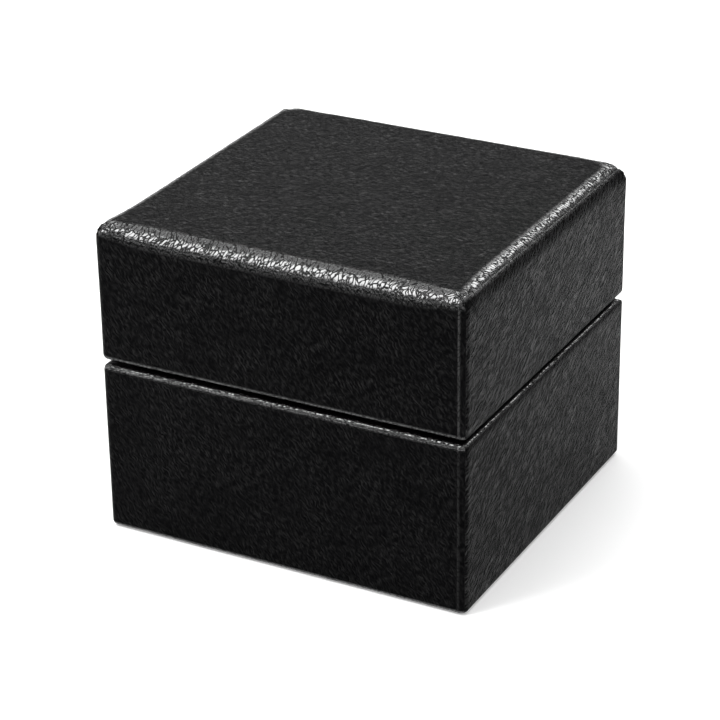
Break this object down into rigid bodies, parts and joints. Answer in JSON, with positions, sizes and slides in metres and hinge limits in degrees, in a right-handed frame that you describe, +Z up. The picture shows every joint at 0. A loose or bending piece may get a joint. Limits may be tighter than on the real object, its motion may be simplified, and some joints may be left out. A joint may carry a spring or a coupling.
{
  "type": "watch box",
  "caption": "Square clamshell watch box wrapped in black grained leather, with a padded lid on concealed sprung hinges, a locating collar and a lift-out watch pillow.",
  "frame": {"origin": "on the surface that the box stands on, under the middle of its footprint", "axes": "+X to the right seen from the front, +Y towards the hinges at the back, +Z up"},
  "size_m": [0.104, 0.098, 0.087],
  "materials": {
    "black_leather": "fine creased grain, semi-gloss",
    "carcass_board": "raw fibreboard",
    "panel_card": "matt grey card",
    "black_card": "black leather-grain paper on card, satin",
    "black_flock": "short flock, matt",
    "cream_suede": "brushed suede cloth, matt",
    "white_foam": "soft foam",
    "hinge_steel": "nickel-plated, satin",
    "spring_steel": "blued strip",
    "screw_steel": "zinc-plated"
  },
  "bodies": {
    "base": {"base_floor_board": "carcass_board", "base_front_board": "carcass_board", "base_back_board": "carcass_board", "base_left_board": "carcass_board", "base_right_board": "carcass_board", "base_leather_cover": "black_leather", "underside_sheet": "black_flock", "lining_collar": "black_card", "insert_block": "cream_suede", "well_pad": "cream_suede", "left_hinge_base_leaf": "hinge_steel", "right_hinge_base_leaf": "hinge_steel", "left_hinge_pin": "hinge_steel", "right_hinge_pin": "hinge_steel", "left_hinge_spring": "spring_steel", "right_hinge_spring": "spring_steel", "base_hinge_screws": "screw_steel"},
    "lid": {"lid_top_board": "carcass_board", "lid_front_board": "carcass_board", "lid_back_board": "carcass_board", "lid_left_board": "carcass_board", "lid_right_board": "carcass_board", "lid_foam_pad": "white_foam", "lid_leather_cover": "black_leather", "lid_lining": "cream_suede", "lid_panel_board": "panel_card", "lid_panel_pad": "cream_suede", "left_hinge_lid_leaf": "hinge_steel", "right_hinge_lid_leaf": "hinge_steel", "lid_hinge_screws": "screw_steel"},
    "pillow": {"pillow_core": "white_foam", "pillow_cover": "cream_suede", "pillow_left_end": "cream_suede", "pillow_right_end": "cream_suede"}
  },
  "joints": [
    {"name": "lid_hinge", "type": "hinge", "parent": "base", "child": "lid", "pos_m": [0, 0.047, 0.0481], "axis": [-1, 0, 0], "range_deg": [0, 95], "deforming": ["left_hinge_spring", "right_hinge_spring"]},
    {"name": "pillow_lift", "type": "slide", "parent": "base", "child": "pillow", "axis": [0, 0, 1], "range_m": [0, 0.02]}
  ]
}
